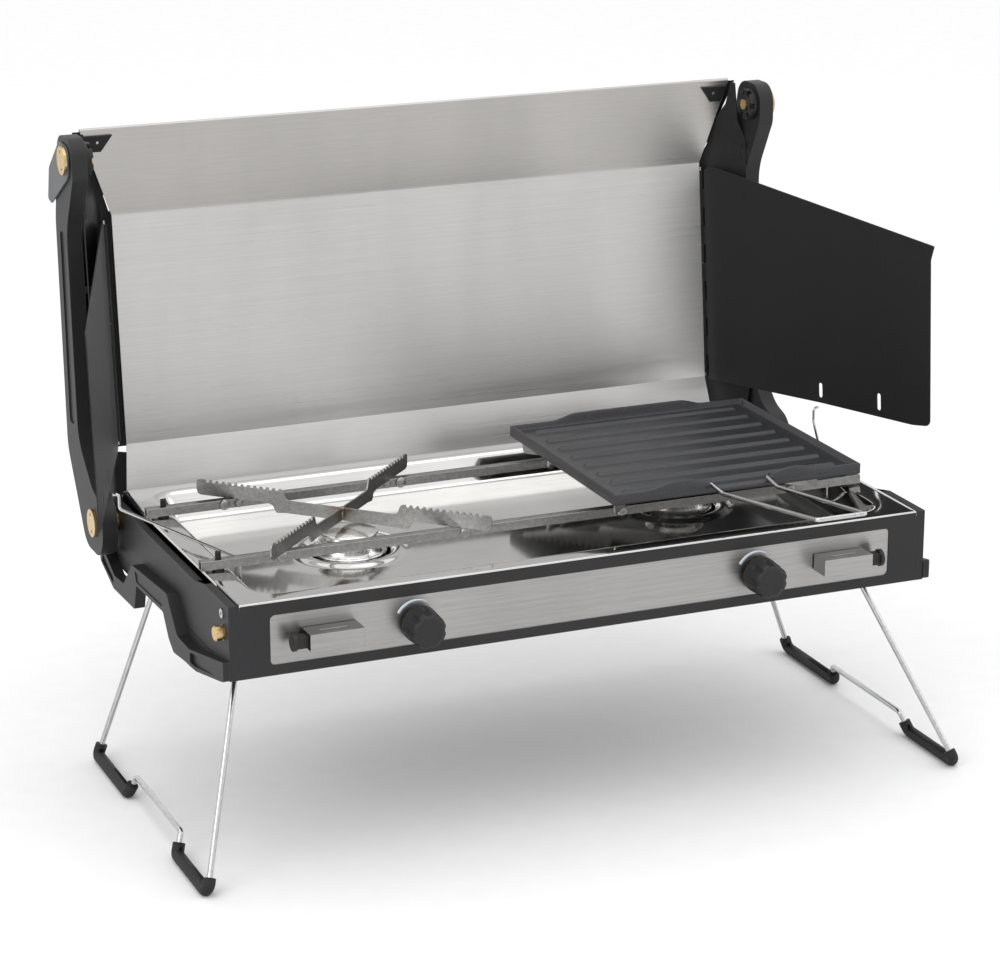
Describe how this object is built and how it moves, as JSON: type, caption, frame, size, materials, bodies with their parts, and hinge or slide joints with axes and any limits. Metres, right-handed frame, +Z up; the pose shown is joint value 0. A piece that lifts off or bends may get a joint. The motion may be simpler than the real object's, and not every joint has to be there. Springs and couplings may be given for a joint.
{
  "type": "camping stove",
  "caption": "Folding twin-burner gas camping stove: steel case on wire legs, lid with side windscreens, pan support, griddle plate and push igniters.",
  "frame": {"origin": "on the ground under the middle of the stove's overall box, which is the bottom centre of the bounding box", "axes": "+X to the right seen from the controls, +Y from the controls towards the open lid, +Z up"},
  "size_m": [0.7886, 0.5463, 0.5566],
  "materials": {
    "charcoal_coat": "fine textured powder coat",
    "black_coat": "matt black powder coat",
    "stainless": "brushed, long horizontal grain",
    "tray_steel": "bright drawn and polished stainless",
    "support_steel": "plain grey steel, lightly heat tinted",
    "wire_chrome": "bright plated wire",
    "brass": "satin turned brass",
    "rubber": "matt black rubber",
    "black_plastic": "fine grained black plastic",
    "grey_plastic": "fine grained dark grey plastic",
    "griddle_coat": "satin non-stick coating on a casting",
    "burner_alloy": "machined light alloy"
  },
  "bodies": {
    "case": {"base_pan": "charcoal_coat", "front_panel": "charcoal_coat", "fascia_plate": "stainless", "rear_panel": "charcoal_coat", "side_panel_left": "charcoal_coat", "side_panel_right": "charcoal_coat", "drip_tray": "tray_steel", "bumper_left": "black_plastic", "bumper_right": "black_plastic", "case_screws": "wire_chrome", "gas_inlet": "brass", "gas_manifold": "brass", "gas_valves": "brass", "gas_jets": "brass", "mixing_tubes": "burner_alloy", "burner_left": "burner_alloy", "burner_right": "burner_alloy", "burner_cap_left": "burner_alloy", "burner_cap_right": "burner_alloy", "igniter_probes": "wire_chrome", "igniter_bracket_left": "stainless", "igniter_bracket_right": "stainless", "igniter_barrels": "black_plastic", "leg_lugs": "wire_chrome", "lid_hinge_discs": "brass"},
    "lid": {"lid_panel": "stainless", "lid_side_left": "black_coat", "lid_side_right": "black_coat", "screen_rods": "wire_chrome", "lid_arm_left": "black_plastic", "lid_arm_right": "black_plastic", "handle_hinge_discs": "brass", "handle_knuckles": "black_plastic", "lid_corner_brackets": "black_coat"},
    "carry_handle": {"handle_slat": "grey_plastic", "handle_plate_left": "grey_plastic", "handle_plate_right": "grey_plastic"},
    "screen_left": {"windscreen_left": "black_coat"},
    "screen_right": {"windscreen_right": "black_coat"},
    "brace_left": {"brace_wire_left": "wire_chrome"},
    "brace_right": {"brace_wire_right": "wire_chrome"},
    "leg_left": {"leg_wire_left": "wire_chrome", "foot_sleeves_left": "rubber"},
    "leg_right": {"leg_wire_right": "wire_chrome", "foot_sleeves_right": "rubber"},
    "control_left": {"knob_left": "black_plastic", "valve_stem_left": "brass"},
    "control_right": {"knob_right": "black_plastic", "valve_stem_right": "brass"},
    "button_left": {"igniter_button_left": "black_plastic"},
    "button_right": {"igniter_button_right": "black_plastic"},
    "pan_support": {"pan_rails": "support_steel", "rail_buffers": "rubber", "pot_cross_left": "support_steel", "pot_cross_right": "support_steel", "rail_rivets": "support_steel"},
    "griddle": {"griddle_plate": "griddle_coat"},
    "griddle_bail": {"griddle_handle": "wire_chrome"}
  },
  "joints": [
    {"name": "lid_hinge", "type": "hinge", "parent": "case", "child": "lid", "pos_m": [0, 0.17309, 0.2186], "axis": [1, 0, 0], "range_deg": [0, 40]},
    {"name": "carry_handle_swing", "type": "hinge", "parent": "lid", "child": "carry_handle", "pos_m": [0, 0.21649, 0.5368], "axis": [1, 0, 0], "range_deg": [0, 150]},
    {"name": "windscreen_left_hinge", "type": "hinge", "parent": "lid", "child": "screen_left", "pos_m": [-0.297, 0.24061, 0.26586], "axis": [0, -0.1011, -0.9949], "range_deg": [-70, 9]},
    {"name": "windscreen_right_hinge", "type": "hinge", "parent": "lid", "child": "screen_right", "pos_m": [0.297, 0.24061, 0.26586], "axis": [0, 0.1011, 0.9949], "range_deg": [-19, 9]},
    {"name": "brace_left_swing", "type": "hinge", "parent": "case", "child": "brace_left", "pos_m": [-0.277, -0.04291, 0.2316], "axis": [0, 0, -1], "range_deg": [0, 10.5]},
    {"name": "brace_right_swing", "type": "hinge", "parent": "case", "child": "brace_right", "pos_m": [0.277, -0.04291, 0.2316], "axis": [0, 0, 1], "range_deg": [0, 10.5]},
    {"name": "leg_left_fold", "type": "hinge", "parent": "case", "child": "leg_left", "pos_m": [-0.29, 0.04009, 0.1696], "axis": [0, -1, 0], "range_deg": [0, 108]},
    {"name": "leg_right_fold", "type": "hinge", "parent": "case", "child": "leg_right", "pos_m": [0.29, 0.04009, 0.1696], "axis": [0, 1, 0], "range_deg": [0, 108]},
    {"name": "knob_left_turn", "type": "hinge", "parent": "case", "child": "control_left", "pos_m": [-0.157, -0.15691, 0.2046], "axis": [0, -1, 0], "range_deg": [0, 270]},
    {"name": "knob_right_turn", "type": "hinge", "parent": "case", "child": "control_right", "pos_m": [0.157, -0.15691, 0.2046], "axis": [0, -1, 0], "range_deg": [0, 270]},
    {"name": "igniter_left_push", "type": "slide", "parent": "case", "child": "button_left", "axis": [1, 0, 0], "range_m": [0, 0.008], "stiffness_N_per_m": 300},
    {"name": "igniter_right_push", "type": "slide", "parent": "case", "child": "button_right", "axis": [-1, 0, 0], "range_m": [0, 0.008], "stiffness_N_per_m": 300},
    {"name": "pan_support_lift", "type": "slide", "parent": "case", "child": "pan_support", "axis": [0, 0, 1], "range_m": [0, 0.035]},
    {"name": "griddle_lift", "type": "slide", "parent": "pan_support", "child": "griddle", "axis": [0, 0, 1], "range_m": [0, 0.045]},
    {"name": "griddle_bail_fold", "type": "hinge", "parent": "griddle", "child": "griddle_bail", "pos_m": [0.163, -0.08911, 0.27162], "axis": [-1, 0, 0], "range_deg": [0, 165]}
  ],
  "couplings": [
    {"joint": "brace_left_swing", "follows": "lid_hinge", "ratio": 0.25},
    {"joint": "brace_right_swing", "follows": "lid_hinge", "ratio": 0.25}
  ]
}
